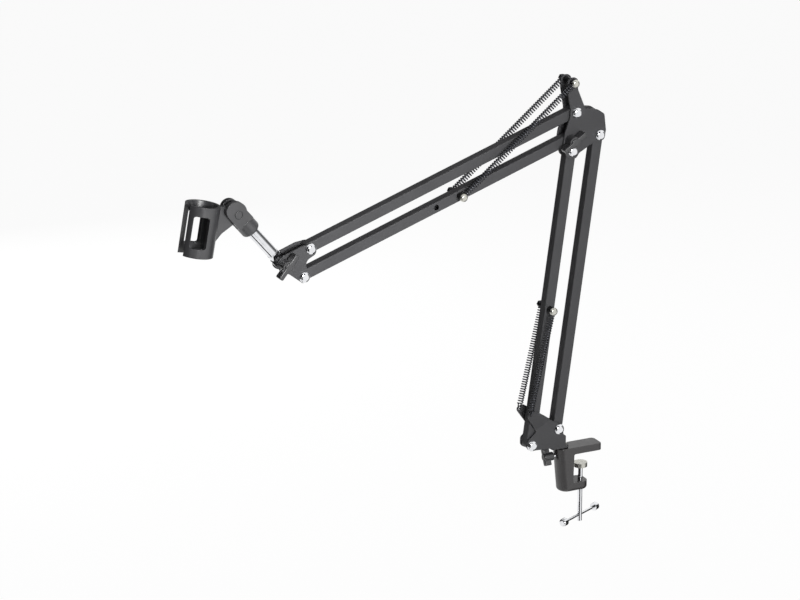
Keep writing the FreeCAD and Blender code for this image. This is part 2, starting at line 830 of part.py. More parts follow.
def base_section():
    """Folded base bracket with its spigot, pivot bolts and nuts."""
    lug = base_front + at(size.base_lug_dx, size.base_lug_dz)
    pivots = {
        "front": base_front,
        "rear": base_rear,
        "crease_front": base_front + at(size.crease_front_dx, size.crease_front_dz),
        "crease_rear": base_rear + at(size.crease_rear_dx, size.crease_rear_dz),
        "lug": lug,
    }
    crease = pivots["crease_rear"] - pivots["crease_front"]
    blanks = []
    for side in (NEAR, FAR):
        word = "near" if side == NEAR else "far"
        inner_y = -plate_inner if side == NEAR else plate_outer
        holes = [(base_front, BOLT_HOLE), (base_rear, BOLT_HOLE)]
        blanks.append(plate(f"base_side_{word}", corners_from(pivots, BASE_OUTLINE), holes, inner_y))
        flange = plate(
            f"base_lug_{word}",
            corners_from(pivots, BASE_LUG_OUTLINE),
            [(lug, "lug_hole_diameter / 2")],
            inner_y,
        )
        middle_y = side * (plate_inner + plate_outer) / 2
        hinge_line = pivots["crease_front"] + Y_AXIS * middle_y
        bend = Placement(Vector(), Rotation(crease, -side * size.lug_bend), hinge_line)
        flange.Placement = bend.multiply(flange.Placement)
        blanks.append(flange)
    front_x = size.swivel_x - size.web_front
    web = block(
        "base_web_blank",
        "web_front + web_rear",
        f"2 * {PLATE_OUTER}",
        "web_thickness",
        Placement(Vector(front_x, -plate_outer, size.web_bottom), Rotation()),
    )
    rear_x = size.swivel_x + size.web_rear

    def at_the_rear(edge):
        """Whether an edge is one of the two upright ones at the rear."""
        return edge.Length < size.web_thickness + 0.1 and edge.CenterOfMass.x > rear_x - 0.1

    blanks.append(rounded("base_web", web, at_the_rear, size.web_rear_round))
    whole = fuse("base_blank", blanks)
    spigot_hole = cylinder(
        "spigot_hole",
        "spigot_diameter / 2",
        "web_thickness",
        at(size.swivel_x, size.web_bottom),
        Z_AXIS,
    )
    sub_part(cut("base_bracket", whole, [spigot_hole]))
    shank = cylinder(
        "spigot_shank",
        "spigot_diameter / 2",
        "spigot_length + web_thickness",
        at(size.swivel_x, size.web_bottom - size.spigot_length),
        Z_AXIS,
    )
    rivet = domed(
        "spigot_rivet",
        "spigot_rivet_diameter / 2",
        "spigot_rivet_height",
        size.spigot_rivet_height * 0.7,
        at(size.swivel_x, size.web_bottom + size.web_thickness),
        Z_AXIS,
    )
    sub_part(fuse("swivel_spigot", [shank, rivet]))
    bolts_and_nuts("base", [base_front, base_rear])
    return lug


def arms_section():
    """Four square-tube bars with their bushes and spring pins."""
    pin_hole = "pin_diameter / 2"
    square_bar(
        "lower_front_bar", base_front, size.lower_arm_angle, [(size.lower_pin_distance, pin_hole)]
    )
    square_bar("lower_rear_bar", base_rear, size.lower_arm_angle)
    square_bar(
        "upper_low_bar",
        head_low,
        size.upper_arm_angle,
        [
            (size.bar_pitch - size.upper_pin_distance, pin_hole),
            (size.bar_pitch - size.spare_side_hole_distance, "spare_hole_diameter / 2"),
        ],
    )
    square_bar(
        "upper_top_bar",
        head_top,
        size.upper_arm_angle,
        top_holes=[size.bar_pitch - size.spare_top_hole_distance],
    )
    bar_bushes("lower_front_bushes", [base_front, elbow_front])
    bar_bushes("lower_rear_bushes", [base_rear, elbow_rear])
    bar_bushes("upper_low_bushes", [elbow_low, head_low])
    bar_bushes("upper_top_bushes", [elbow_top, head_top])
    spring_pin("lower_spring", lower_pin, bar_half)
    spring_pin("upper_spring", upper_pin, bar_half)


def clamping_bolt(name, pivot, depth):
    """Hexagon-headed bolt from the far plate through to a wing knob on the near side."""
    head_seat = pivot + Y_AXIS * plate_outer
    head = hexagon(name + "_head", "nut_flats", "bolt_head_height", head_seat)
    shank = cylinder(
        name + "_shank",
        "bolt_diameter / 2",
        f"2 * {PLATE_OUTER} + knob_stand_off + {depth}",
        head_seat,
        -Y_AXIS,
    )
    return sub_part(fuse(name, [head, shank]))


def tension_knob(prefix, pivot, wing_angle):
    """Wing knob on the near side of a clamping bolt, with its brass insert."""
    seat = pivot - Y_AXIS * (plate_outer + size.knob_stand_off)
    moulding, hole = wing_knob(
        prefix + "_knob",
        seat,
        -Y_AXIS,
        wing_angle,
        "knob_hub_diameter",
        "knob_span",
        "knob_height",
        "bolt_diameter",
        "knob_height - knob_wing_thickness / 2",
    )
    pocket = hexagon(prefix + "_insert_pocket", "knob_insert_flats", "knob_insert_height", seat, -Y_AXIS)
    sub_part(cut(prefix + "_knob", moulding, [hole, pocket]))
    insert = hexagon(prefix + "_insert_blank", "knob_insert_flats", "knob_insert_height", seat, -Y_AXIS)
    thread = cylinder(prefix + "_insert_hole", BOLT_HOLE, "knob_insert_height", seat, -Y_AXIS)
    sub_part(cut(prefix + "_knob_insert", insert, [thread]))


def elbow_section():
    """Elbow plates, their pivot bolts, the friction bolt with its knob and the upper springs' pin."""
    pivots = {
        "front": elbow_front,
        "rear": elbow_rear,
        "top": elbow_top,
        "low": elbow_low,
        "lug": elbow_lug,
    }
    holes = [(pivot, BOLT_HOLE) for pivot in (elbow_front, elbow_rear, elbow_top, elbow_low)]
    holes.append((elbow_lug, "pin_diameter / 2"))
    corners = corners_from(pivots, ELBOW_OUTLINE)
    sub_part(plate("elbow_plate_near", corners, holes, -plate_inner))
    sub_part(plate("elbow_plate_far", corners, holes, plate_outer))
    bolts_and_nuts("elbow", [elbow_front, elbow_rear, elbow_top])
    clamping_bolt("elbow_tension_bolt", elbow_low, "knob_height - knob_wing_thickness / 2 - side_clearance")
    tension_knob("elbow", elbow_low, size.elbow_wing_angle)
    spring_pin("elbow_spring", elbow_lug, plate_outer, "elbow_collar_diameter")
    sub_part(
        ring(
            "elbow_spacer",
            "collar_diameter / 2",
            "pin_diameter / 2",
            "bar_width + 2 * bush_flange + 2 * side_clearance",
            elbow_lug - Y_AXIS * plate_inner,
        )
    )


def head_section():
    """Head plates, their pivot bolts, the tilt bolt with its knob and the friction spacers."""
    pivots = {"top": head_top, "low": head_low, "tilt": tilt}
    holes = [(pivot, BOLT_HOLE) for pivot in (head_top, head_low, tilt)]
    corners = corners_from(pivots, HEAD_OUTLINE)
    sub_part(plate("head_plate_near", corners, holes, -plate_inner))
    sub_part(plate("head_plate_far", corners, holes, plate_outer))
    bolts_and_nuts("head", [head_top, head_low])
    clamping_bolt("tilt_bolt", tilt, "knob_height - knob_wing_thickness / 2 - side_clearance")
    tension_knob("head", tilt, size.head_wing_angle)
    spacers = []
    for side in (NEAR, FAR):
        spacers.append(
            ring(
                f"tilt_spacer_{side + 1}",
                "spacer_diameter / 2",
                BOLT_HOLE,
                "bar_width / 2 + bush_flange + side_clearance - tab_thickness / 2 - side_clearance",
                tilt + Y_AXIS * (side * plate_inner),
                Y_AXIS * -side,
            )
        )
    sub_part(group("tilt_spacers", spacers))


def tube_section():
    """Chromed tube with a flattened tab, its microphone thread, and the moulded barrel with a fork."""
    frame = Placement(tilt, Rotation(Y_AXIS, 90 - size.tube_angle))
    along = frame.Rotation.multVec(Z_AXIS)

    def on_tube(distance):
        """Point of the tube's axis at a distance from the tilt bolt."""
        return tilt + along * distance

    tab_half = size.tab_width / 2
    tab_offset = frame.Rotation.multVec(Y_AXIS) * (size.tab_thickness / 2)
    tab = new_body("tube_tab", Placement(tilt + tab_offset, frame.Rotation))
    tab_sketch = new_sketch(tab, "XZ_Plane")
    draw_outline(
        tab_sketch,
        [
            (-tab_half, -tab_half, tab_half),
            (tab_half, -tab_half, tab_half),
            (tab_half, size.tab_length, 0.0),
            (-tab_half, size.tab_length, 0.0),
        ],
    )
    pad(tab, tab_sketch, "tab_thickness")
    neck = new_body("tube_neck", frame)
    flat_section = new_sketch(neck, "XY_Plane", size.tab_length - size.tab_thickness)
    flat_section.addGeometry(Part.Ellipse(Vector(), tab_half * 0.97, size.tab_thickness * 0.65))
    round_section = new_sketch(neck, "XY_Plane", size.neck_end)
    round_half = size.tube_diameter / 2 + size.neck_swell
    round_section.addGeometry(Part.Ellipse(Vector(), round_half * 1.002, round_half))
    loft = neck.newObject("PartDesign::AdditiveLoft", "tube_neck_loft")
    loft.Profile = flat_section
    loft.Sections = [round_section]
    stud_foot = size.barrel_bottom + size.stud_depth
    straight = cylinder(
        "tube_straight",
        "tube_diameter / 2",
        "barrel_bottom + stud_depth - neck_end + tube_wall",
        on_tube(size.neck_end - size.tube_wall),
        along,
    )
    whole = fuse("tube_blank", [tab, neck, straight])
    bolt_hole = cylinder(
        "tube_bolt_hole", BOLT_HOLE, "2 * tab_thickness", tilt - Y_AXIS * size.tab_thickness
    )
    hollow = cylinder(
        "tube_hollow",
        "tube_diameter / 2 - tube_wall",
        "barrel_bottom + stud_depth - neck_end",
        on_tube(size.neck_end),
        along,
    )
    sub_part(cut("mic_tube", whole, [bolt_hole, hollow]))
    sub_part(cylinder("thread_stud", "stud_diameter / 2", "stud_length", on_tube(stud_foot), along))
    barrel_section(frame, on_tube, along)


def barrel_section(frame, on_tube, along):
    """Moulded barrel with its thread bore and the fork that holds the clip's lug."""
    knuckle = on_tube(size.knuckle_distance)
    slot_floor = size.knuckle_distance - size.lug_radius - size.lug_end_clearance
    barrel = domed(
        "barrel_body",
        "barrel_diameter / 2",
        "knuckle_distance - lug_radius - lug_end_clearance - barrel_bottom",
        size.barrel_edge_radius,
        on_tube(slot_floor),
        along * -1,
    )
    half_width = size.fork_width / 2
    half_thickness = size.fork_thickness / 2
    fork_corner = Vector(-half_width, -half_thickness, slot_floor - size.lug_end_clearance)
    fork = block(
        "fork_block",
        "fork_width",
        "fork_thickness",
        "lug_radius + 2 * lug_end_clearance + fork_overhang",
        Placement(frame.multVec(fork_corner), frame.Rotation),
    )
    crown = cylinder(
        "fork_crown",
        "fork_width / 2",
        "fork_thickness",
        on_tube(size.knuckle_distance + size.fork_overhang) - Y_AXIS * half_thickness,
    )
    whole = fuse("barrel_blank", [barrel, fork, crown])
    gap_half = size.lug_thickness / 2 + size.lug_side_clearance
    gap = block(
        "fork_gap",
        "2 * fork_width",
        "lug_thickness + 2 * lug_side_clearance",
        "3 * lug_radius",
        Placement(frame.multVec(Vector(-size.fork_width, -gap_half, slot_floor)), frame.Rotation),
    )
    thread_bore = cylinder(
        "thread_bore",
        "stud_diameter / 2 + running_clearance",
        "stud_depth + stud_length",
        on_tube(size.barrel_bottom),
        along,
    )
    screw_hole = cylinder(
        "knuckle_hole",
        "knuckle_screw_diameter / 2 + running_clearance",
        "2 * fork_thickness",
        knuckle - Y_AXIS * size.fork_thickness,
    )
    near_face = knuckle - Y_AXIS * half_thickness
    recess = cylinder(
        "knuckle_recess",
        "knuckle_recess_diameter / 2",
        "knuckle_recess_depth",
        near_face,
    )
    sub_part(cut("clip_barrel", whole, [gap, thread_bore, screw_hole, recess]))
    seat = near_face + Y_AXIS * size.knuckle_recess_depth
    head = domed(
        "knuckle_head",
        "knuckle_head_diameter / 2",
        "knuckle_head_height",
        size.knuckle_head_height * 0.5,
        seat,
        -Y_AXIS,
    )
    shank = cylinder(
        "knuckle_shank",
        "knuckle_screw_diameter / 2",
        "fork_thickness - knuckle_recess_depth + pin_nut_height + thread_run_out",
        seat,
    )
    sub_part(fuse("knuckle_screw", [head, shank]))
    far_face = knuckle + Y_AXIS * half_thickness
    nut = hexagon("knuckle_nut_blank", "knuckle_nut_flats", "pin_nut_height", far_face)
    nut_hole = cylinder("knuckle_nut_hole", "knuckle_screw_diameter / 2", "pin_nut_height", far_face)
    sub_part(cut("knuckle_nut", nut, [nut_hole]))
    clip_section(knuckle)


def clip_section(knuckle):
    """Split tapered clip with a gripping band, two windows, a front slit and a lug that turns in the fork."""
    rotation = Rotation(Y_AXIS, 90 - size.clip_angle)
    foot = knuckle - rotation.multVec(Vector(size.clip_reach, 0, size.clip_knuckle_height))
    frame = Placement(foot, rotation)
    axis = rotation.multVec(Z_AXIS)

    def placed(x, y, z):
        """Placement of a corner in the clip's own frame."""
        return Placement(frame.multVec(Vector(x, y, z)), rotation)

    shell = cone("clip_shell", "clip_lower_diameter / 2", "clip_upper_diameter / 2", "clip_height", frame)
    half_lug = size.lug_thickness / 2
    gusset = new_body("clip_gusset", Placement(frame.multVec(Vector(0, half_lug, 0)), rotation))
    sketch = new_sketch(gusset, "XZ_Plane")
    local = {
        "wall": at(size.clip_bore_diameter / 2, 0),
        "knuckle": at(size.clip_reach, size.clip_knuckle_height),
    }
    draw_outline(sketch, corners_from(local, CLIP_GUSSET_OUTLINE))
    pad(gusset, sketch, "lug_thickness")
    disc = cylinder("clip_lug", "lug_radius", "lug_thickness", knuckle - Y_AXIS * half_lug)
    whole = fuse("clip_blank", [shell, gusset, disc])
    bore = cylinder("clip_bore", "clip_bore_diameter / 2", "clip_height", foot, axis)
    relief = cylinder(
        "clip_relief_bore",
        "clip_bore_diameter / 2 + clip_relief",
        "clip_height - clip_band_height",
        foot + axis * size.clip_band_height,
        axis,
    )
    mouth = cone(
        "clip_mouth",
        "clip_bore_diameter / 2 + clip_relief",
        "clip_mouth_diameter / 2",
        "clip_mouth_depth",
        placed(0, 0, size.clip_height - size.clip_mouth_depth),
    )
    slit = block(
        "clip_slit_cut",
        "clip_upper_diameter",
        "clip_slit",
        "clip_height",
        placed(-size.clip_upper_diameter, -size.clip_slit / 2, 0),
    )
    strip_back = block(
        "clip_strip_back_cut",
        "clip_strip_back",
        "2 * clip_slit",
        "clip_window_height - clip_window_round",
        placed(-size.clip_strip_back, -size.clip_slit, size.clip_window_foot + size.clip_window_round / 2),
    )
    windows = []
    for side_name, first_y in (
        ("near", -size.clip_upper_diameter),
        ("far", size.clip_front_strip),
    ):
        window_blank = block(
            f"clip_{side_name}_window_blank",
            f"clip_{side_name}_window_width",
            "clip_upper_diameter - clip_front_strip",
            "clip_window_height",
            placed(-size.clip_window_front, first_y, size.clip_window_foot),
        )
        window = rounded(
            f"clip_{side_name}_window",
            window_blank,
            lambda edge: abs(edge.tangentAt(edge.FirstParameter).y) > 0.99,
            size.clip_window_round,
        )
        windows.append(window)
    pivot_hole = cylinder(
        "clip_pivot_hole",
        "knuckle_screw_diameter / 2 + running_clearance",
        "2 * lug_thickness",
        knuckle - Y_AXIS * size.lug_thickness,
    )
    sub_part(cut("mic_clip", whole, [bore, relief, mouth, slit, strip_back, *windows, pivot_hole]))


def biarc(start, start_run, end, end_run):
    """Two arcs that join two points with given unit directions, tangent to each other."""
    chord = end - start
    total = start_run + end_run
    lean = 2 * (1 - start_run.dot(end_run))
    if abs(lean) < 1e-9:
        return [Part.LineSegment(start, end).toShape()]
    along = chord.dot(total)
    reach = (-along + math.sqrt(along * along + lean * chord.dot(chord))) / lean
    joint = (start + end + (start_run - end_run) * reach) * 0.5
    edges = []
    for point, run, target in ((start, start_run, joint), (end, end_run * -1, joint)):
        edges.append(tangent_arc(point, run, target, reverse=target is joint and point is end))
    return edges


def tangent_arc(point, run, target, reverse):
    """Arc that leaves a point in a direction and passes through a target."""
    reach = target - point
    normal = reach - run * reach.dot(run)
    if normal.Length < 1e-7:
        return Part.LineSegment(target, point).toShape() if reverse else Part.LineSegment(point, target).toShape()
    normal.normalize()
    radius = reach.dot(reach) / (2 * reach.dot(normal))
    centre = point + normal * radius
    middle_way = (point - centre) + (target - centre)
    outward = middle_way.normalize() if reach.dot(run) > 0 else middle_way.normalize() * -1
    crown = centre + outward * radius
    return Part.Arc(target, crown, point).toShape() if reverse else Part.Arc(point, crown, target).toShape()


def wound_spring(name, start, end, side, hook_at_start):
    """Tension spring from a start to an end pin, as one wire: eye, coils, eye.

    With hook_at_start the first eye is turned edge-on and passes through the lug's hole at the start.
    """
    shift = Y_AXIS * (side * size.spring_offset)
    first, last = start + shift, end + shift
    run = (last - first).normalize()
    sideways = Y_AXIS.cross(run).normalize()
    wire = size.spring_wire
    coil = size.spring_mean_radius
    eye = size.pin_diameter / 2 + size.spring_eye_play + wire / 2
    if hook_at_start:
        first_side = Y_AXIS * side
        first_radius = size.spring_hook_radius
        first_centre = first + run * (first_radius - size.spring_hook_drop)
    else:
        first_side = sideways
        first_radius = eye
        first_centre = first
    lift = run.cross(first_side)
    phase = math.atan2(sideways.dot(lift), sideways.dot(first_side)) % (2 * math.pi)
    swept = size.spring_turns * 2 * math.pi + phase
    coil_start = first_centre + run * (first_radius + size.spring_leg)
    coil_end = last - run * (eye + size.spring_leg)
    coil_length = (coil_end - coil_start).Length

    def on_eye(centre, radius, side_way, angle):
        """Point and direction on an eye, at an angle before its side point."""
        point = centre + side_way * (radius * math.cos(angle)) + run * (radius * math.sin(angle))
        return point, side_way * -math.sin(angle) + run * math.cos(angle)

    def on_coil(angle):
        """Point and direction on the coil."""
        way = first_side * math.cos(angle) + lift * math.sin(angle)
        around = lift * math.cos(angle) - first_side * math.sin(angle)
        climb = coil_length / swept
        return coil_start + run * (climb * angle) + way * coil, (around * coil + run * climb).normalize()

    stations = []
    for quarter in (-2.75, -2, -1, 0):
        stations.append(on_eye(first_centre, first_radius, first_side, quarter * math.pi / 2))
    half_turns = 2 * size.spring_turns + 1
    for index in range(half_turns + 1):
        angle = math.pi / 2 + (swept - math.pi) * index / half_turns
        stations.append(on_coil(angle))
    for quarter in (0, 1, 2, 2.75):
        stations.append(on_eye(last, eye, sideways, quarter * math.pi / 2))
    edges = []
    for (point, direction), (next_point, next_direction) in zip(stations, stations[1:]):
        edges.extend(biarc(point, direction, next_point, next_direction))
    path = Part.Wire(edges)
    section = Part.Wire(Part.Circle(stations[0][0], stations[0][1], wire / 2).toShape())
    shape = path.makePipeShell([section], True, False)
    expected = math.pi * wire * wire / 4 * path.Length
    print(f"{name}: volume / (section x length) = {shape.Volume / expected:.5f}")
    print(f"{name}: least gap to itself = {self_gap(path, wire):.3f} mm")
    piece = doc.addObject("Part::Feature", name)
    piece.Shape = shape
    piece.Placement = Placement()
    return sub_part(piece)


def self_gap(path, wire):
    """Least clear distance between two stretches of a wire that lie apart along it, from points on it."""
    count = int(path.Length / (wire / 2))
    points = path.discretize(Number=count)
    apart = 10
    least = min(
        points[index].distanceToPoint(points[other])
        for index in range(count)
        for other in range(index + apart, min(index + 12 * apart, count))
    )
    return least - wire


boom_arm_clamp()
base_lug = base_section()
arms_section()
elbow_section()
head_section()
tube_section()
for side, word in ((NEAR, "near"), (FAR, "far")):
    wound_spring(f"lower_spring_{word}", base_lug, lower_pin, side, True)
    wound_spring(f"upper_spring_{word}", elbow_lug, upper_pin, side, False)

doc.recompute()
for item in doc.Objects:
    if "Invalid" in item.State or "Error" in item.State:
        raise RuntimeError(f"{item.Label} failed: {item.State}")
for piece in sub_parts:
    if piece.Shape.isNull() or not piece.Shape.isValid():
        raise RuntimeError(f"{piece.Label} has no valid shape")

os.makedirs("parts", exist_ok=True)
for piece in sub_parts:
    piece.Shape.exportStep(os.path.join("parts", piece.Label + ".step"))
print(f"{len(sub_parts)} sub-parts written")
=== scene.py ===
"""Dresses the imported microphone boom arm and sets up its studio.

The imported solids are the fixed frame. This file adds the closely wound springs and the lock nuts, gives
every piece its finish, and places the floor, the lights and the camera.
"""

import json
import logging
import math
from dataclasses import dataclass, field
from enum import Enum
from typing import Any, Iterable, Sequence

import bpy
import numpy as np
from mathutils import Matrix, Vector


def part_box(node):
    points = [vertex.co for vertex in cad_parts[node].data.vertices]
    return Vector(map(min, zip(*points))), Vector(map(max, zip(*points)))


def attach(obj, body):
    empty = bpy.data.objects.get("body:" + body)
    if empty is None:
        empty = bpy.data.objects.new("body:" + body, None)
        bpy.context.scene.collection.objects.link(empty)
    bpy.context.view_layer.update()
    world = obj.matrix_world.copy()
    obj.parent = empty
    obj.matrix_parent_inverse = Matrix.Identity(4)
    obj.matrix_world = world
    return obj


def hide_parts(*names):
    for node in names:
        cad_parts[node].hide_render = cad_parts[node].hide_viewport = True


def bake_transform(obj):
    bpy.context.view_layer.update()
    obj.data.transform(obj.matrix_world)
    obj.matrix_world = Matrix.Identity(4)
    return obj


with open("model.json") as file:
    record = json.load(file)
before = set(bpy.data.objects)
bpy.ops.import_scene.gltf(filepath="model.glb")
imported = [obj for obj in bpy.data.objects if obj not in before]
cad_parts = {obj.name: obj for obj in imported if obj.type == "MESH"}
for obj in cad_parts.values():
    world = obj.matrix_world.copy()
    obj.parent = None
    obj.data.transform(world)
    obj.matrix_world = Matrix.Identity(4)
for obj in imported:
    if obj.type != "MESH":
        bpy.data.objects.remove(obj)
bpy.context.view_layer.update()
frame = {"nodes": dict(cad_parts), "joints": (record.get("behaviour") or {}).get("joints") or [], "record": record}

log = logging.getLogger("boom_arm")

MM = 0.001
WHITE = (1.0, 1.0, 1.0, 1.0)
JOINT_PLACE = {joint["name"]: np.array(joint.get("pos_m", (0, 0, 0)), float) for joint in frame["joints"]}


class Side(Enum):
    """Which side of the arm a piece is on; the near side faces the camera."""

    NEAR = -1
    FAR = 1


class Slot(str, Enum):
    """Material slots of the record that the finishes belong to."""

    POWDER_COAT = "satin_black_powder_coat"
    CAST_PAINT = "cast_black_paint"
    BLACK_ZINC = "black_zinc"
    CHROME = "chrome_plate"
    ZINC = "zinc_plate"
    SPRING_STEEL = "black_spring_steel"
    NYLON = "black_nylon"
    MOULDING = "black_moulding"
    BRASS = "brass"


def linear(hex_colour: str) -> tuple[float, float, float, float]:
    """Turns an sRGB hex colour to linear light.

    Args:
        hex_colour: Six hex digits, with or without a leading hash.

    Returns:
        Red, green, blue and an alpha of one.
    """
    digits = hex_colour.lstrip("#")
    channels = np.array([int(digits[i : i + 2], 16) for i in (0, 2, 4)], float) / 255
    low = channels / 12.92
    high = ((channels + 0.055) / 1.055) ** 2.4
    red, green, blue = np.where(channels <= 0.04045, low, high)
    return float(red), float(green), float(blue), 1.0


def add_node(
    tree: bpy.types.NodeTree,
    kind: str,
    settings: dict[str, Any] | None = None,
    values: dict[str | int, Any] | None = None,
    links: dict[str | int, bpy.types.NodeSocket] | None = None,
) -> bpy.types.Node:
    """Adds a node to a tree with its settings, socket values and incoming links.

    Args:
        tree: Node tree that the node goes in.
        kind: Blender's name for the kind of node.
        settings: Properties of the node itself.
        values: Default values of its inputs, by name or number.
        links: Output sockets that feed its inputs, by name or number.

    Returns:
        The new node.
    """
    node = tree.nodes.new(kind)
    for name, value in (settings or {}).items():
        setattr(node, name, value)
    for name, value in (values or {}).items():
        node.inputs[name].default_value = value
    for name, socket in (links or {}).items():
        tree.links.new(socket, node.inputs[name])
    return node


@dataclass(frozen=True)
class Finish:
    """A surface finish: what it is, how it was made and how it looks.

    The colour drifts between two tones over a large cell, the roughness drifts with it, a fine grain raises the
    surface, and edges are eased by a small radius. Drift, grain and edges are given in millimetres.
    """

    name: str
    slot: Slot
    tone: str
    second_tone: str
    metallic: float
    roughness: tuple[float, float]
    drift_mm: float
    grain_mm: float
    grain_height_mm: float
    edge_mm: float
    specular: float = 0.5

    def material(self) -> bpy.types.Material:
        """Builds the node material of this finish.

        Returns:
            The material.
        """
        made = bpy.data.materials.new(self.name)
        made.use_nodes = True
        tree = made.node_tree
        shader = tree.nodes["Principled BSDF"]
        place = add_node(tree, "ShaderNodeTexCoord")
        drift = add_node(
            tree,
            "ShaderNodeTexNoise",
            values={"Scale": 1 / (self.drift_mm * MM), "Detail": 4.0, "Roughness": 0.6},
            links={"Vector": place.outputs["Object"]},
        )
        spread = add_node(
            tree,
            "ShaderNodeMapRange",
            values={"From Min": 0.3, "From Max": 0.7},
            links={"Value": drift.outputs["Fac"]},
        )
        tone = add_node(
            tree,
            "ShaderNodeMix",
            settings={"data_type": "RGBA"},
            values={6: linear(self.tone), 7: linear(self.second_tone)},
            links={"Factor": spread.outputs["Result"]},
        )
        low, high = self.roughness
        rough = add_node(
            tree,
            "ShaderNodeMapRange",
            values={"To Min": low, "To Max": high},
            links={"Value": spread.outputs["Result"]},
        )
        grain = add_node(
            tree,
            "ShaderNodeTexNoise",
            values={"Scale": 1 / (self.grain_mm * MM), "Detail": 2.0, "Roughness": 0.5},
            links={"Vector": place.outputs["Object"]},
        )
        eased = add_node(tree, "ShaderNodeBevel", settings={"samples": 4}, values={"Radius": self.edge_mm * MM})
        bump = add_node(
            tree,
            "ShaderNodeBump",
            values={"Strength": 1.0, "Distance": self.grain_height_mm * MM},
            links={"Height": grain.outputs["Fac"], "Normal": eased.outputs["Normal"]},
        )
        tree.links.new(tone.outputs[2], shader.inputs["Base Color"])
        tree.links.new(rough.outputs["Result"], shader.inputs["Roughness"])
        tree.links.new(bump.outputs["Normal"], shader.inputs["Normal"])
        shader.inputs["Metallic"].default_value = self.metallic
        shader.inputs["Specular IOR Level"].default_value = self.specular
        return made


# Polyester powder baked on steel: satin, with the shallow orange peel that the melted powder leaves.
POWDER_COAT = Finish(
    name="satin_black_powder_coat",
    slot=Slot.POWDER_COAT,
    tone="#525254",
    second_tone="#58585a",
    metallic=0.0,
    roughness=(0.42, 0.52),
    drift_mm=30.0,
    grain_mm=1.6,
    grain_height_mm=0.02,
    edge_mm=0.5,
    specular=0.35,
)
# Sprayed enamel on a zinc casting: slightly warm, with the soft unevenness of the mould under it.
CAST_PAINT = Finish(
    name="satin_black_enamel_on_casting",
    slot=Slot.CAST_PAINT,
    tone="#2e2b2c",
    second_tone="#363334",
    metallic=0.0,
    roughness=(0.3, 0.4),
    drift_mm=18.0,
    grain_mm=2.6,
    grain_height_mm=0.03,
    edge_mm=0.5,
    specular=1.0,
)
# Black passivated zinc on turned steel: dark, thin and a little uneven.
BLACK_ZINC = Finish(
    name="black_passivated_zinc",
    slot=Slot.BLACK_ZINC,
    tone="#2a2a2b",
    second_tone="#343435",
    metallic=0.4,
    roughness=(0.36, 0.46),
    drift_mm=5.0,
    grain_mm=0.5,
    grain_height_mm=0.01,
    edge_mm=0.2,
    specular=0.2,
)
# Bright decorative chrome over nickel: mirror-like, with faint handling smears.
CHROME = Finish(
    name="bright_chrome_plate",
    slot=Slot.CHROME,
    tone="#f2f3f5",
    second_tone="#e6e7ea",
    metallic=1.0,
    roughness=(0.04, 0.1),
    drift_mm=9.0,
    grain_mm=2.0,
    grain_height_mm=0.003,
    edge_mm=0.15,
)
# Clear passivated zinc on steel: pale and slightly yellow, satin from the barrel plating.
ZINC = Finish(
    name="clear_passivated_zinc",
    slot=Slot.ZINC,
    tone="#d9d8cf",
    second_tone="#c5c4bc",
    metallic=0.9,
    roughness=(0.22, 0.34),
    drift_mm=3.0,
    grain_mm=0.5,
    grain_height_mm=0.006,
    edge_mm=0.15,
)
# Hard-drawn wire, oil-blackened: dark gunmetal with small glints along the turns.
SPRING_STEEL = Finish(
    name="blackened_drawn_spring_wire",
    slot=Slot.SPRING_STEEL,
    tone="#4a4b50",
    second_tone="#5a5b60",
    metallic=0.8,
    roughness=(0.22, 0.34),
    drift_mm=6.0,
    grain_mm=0.4,
    grain_height_mm=0.004,
    edge_mm=0.05,
)
# Machined polyamide: dull and slightly waxy.
NYLON = Finish(
    name="black_polyamide",
    slot=Slot.NYLON,
    tone="#2c2c2d",
    second_tone="#333334",
    metallic=0.0,
    roughness=(0.5, 0.6),
    drift_mm=6.0,
    grain_mm=0.6,
    grain_height_mm=0.012,
    edge_mm=0.2,
    specular=0.2,
)
# Glass-filled moulding with a fine spark-eroded texture: dark grey, with a soft sheen along its curves.
MOULDING = Finish(
    name="spark_textured_moulding",
    slot=Slot.MOULDING,
    tone="#38383a",
    second_tone="#404042",
    metallic=0.0,
    roughness=(0.3, 0.4),
    drift_mm=22.0,
    grain_mm=0.7,
    grain_height_mm=0.015,
    edge_mm=0.5,
    specular=1.0,
)
# Turned brass: warm and satin, with a fine uneven grain.
BRASS = Finish(
    name="turned_brass",
    slot=Slot.BRASS,
    tone="#c9a24e",
    second_tone="#b48d3f",
    metallic=1.0,
    roughness=(0.22, 0.34),
    drift_mm=3.0,
    grain_mm=0.3,
    grain_height_mm=0.006,
    edge_mm=0.15,
)

FINISHES = (POWDER_COAT, CAST_PAINT, BLACK_ZINC, CHROME, ZINC, SPRING_STEEL, NYLON, MOULDING, BRASS)


